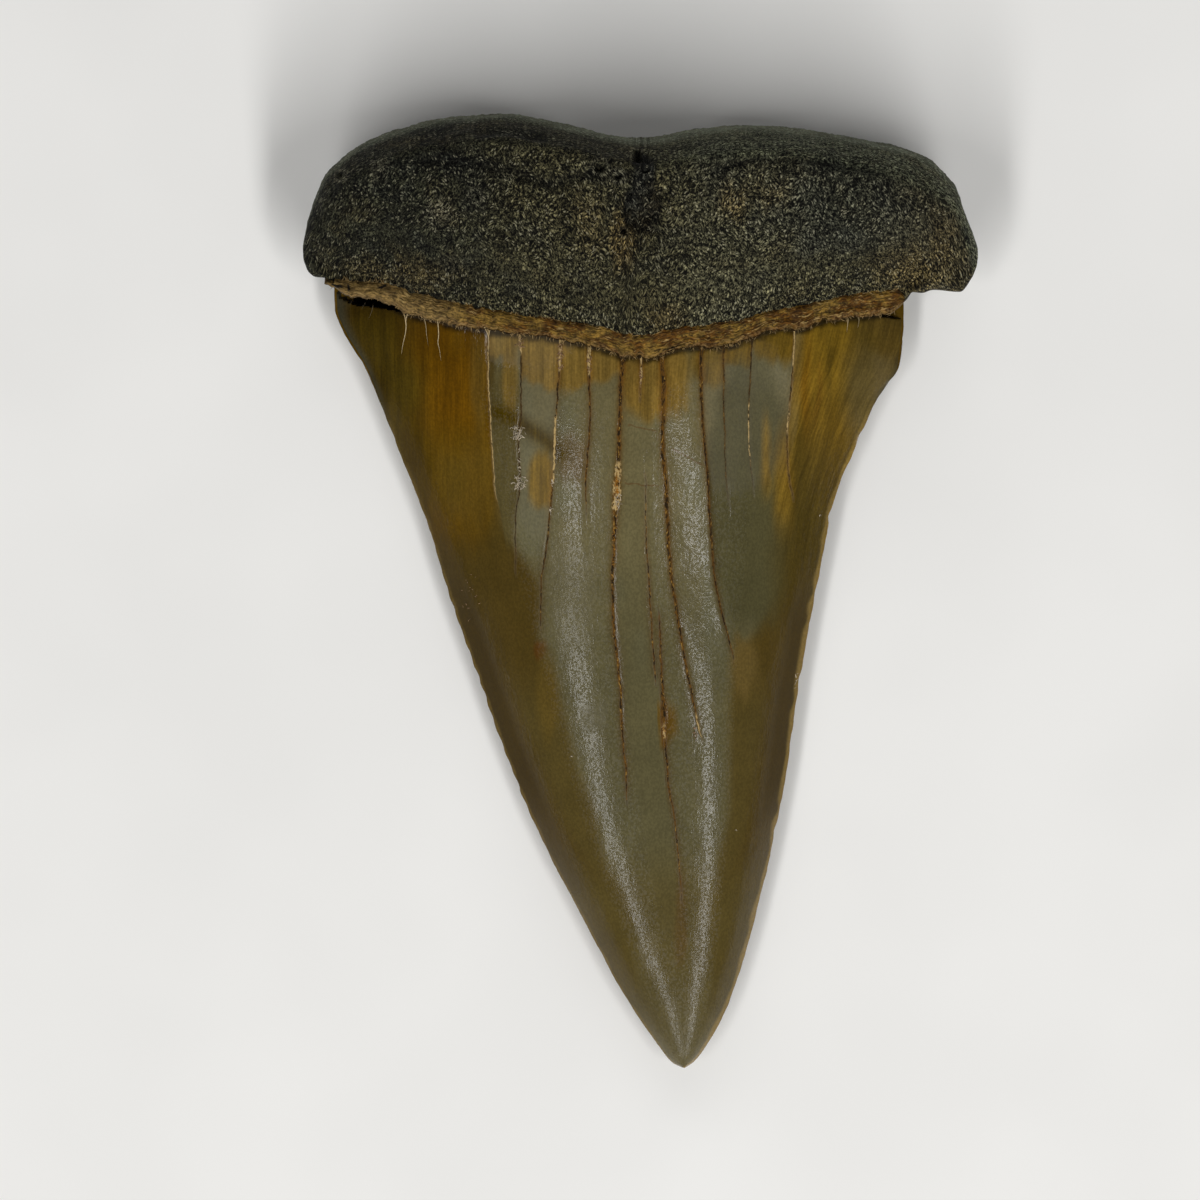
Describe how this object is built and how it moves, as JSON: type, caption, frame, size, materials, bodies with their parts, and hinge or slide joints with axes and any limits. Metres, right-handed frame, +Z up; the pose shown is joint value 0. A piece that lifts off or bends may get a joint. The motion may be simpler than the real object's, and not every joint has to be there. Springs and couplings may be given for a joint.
{
  "type": "fossil mako shark tooth",
  "caption": "Fossil shark tooth lying on its flat outer face: a grooved dark root with rounded lobes, a narrow neck band and a broad, cracked, pointed enamel crown.",
  "frame": {"origin": "under the middle of the tooth as it lies, on the plane it rests on: the bottom centre of its box", "axes": "+X across the tooth, +Y from the point towards the root, +Z up out of the domed inner face"},
  "size_m": [0.0444, 0.063, 0.0134],
  "materials": {
    "enamel": "glossy",
    "root": "matt",
    "neck_band": "satin"
  },
  "bodies": {
    "root": {"tooth": "enamel"}
  },
  "joints": []
}
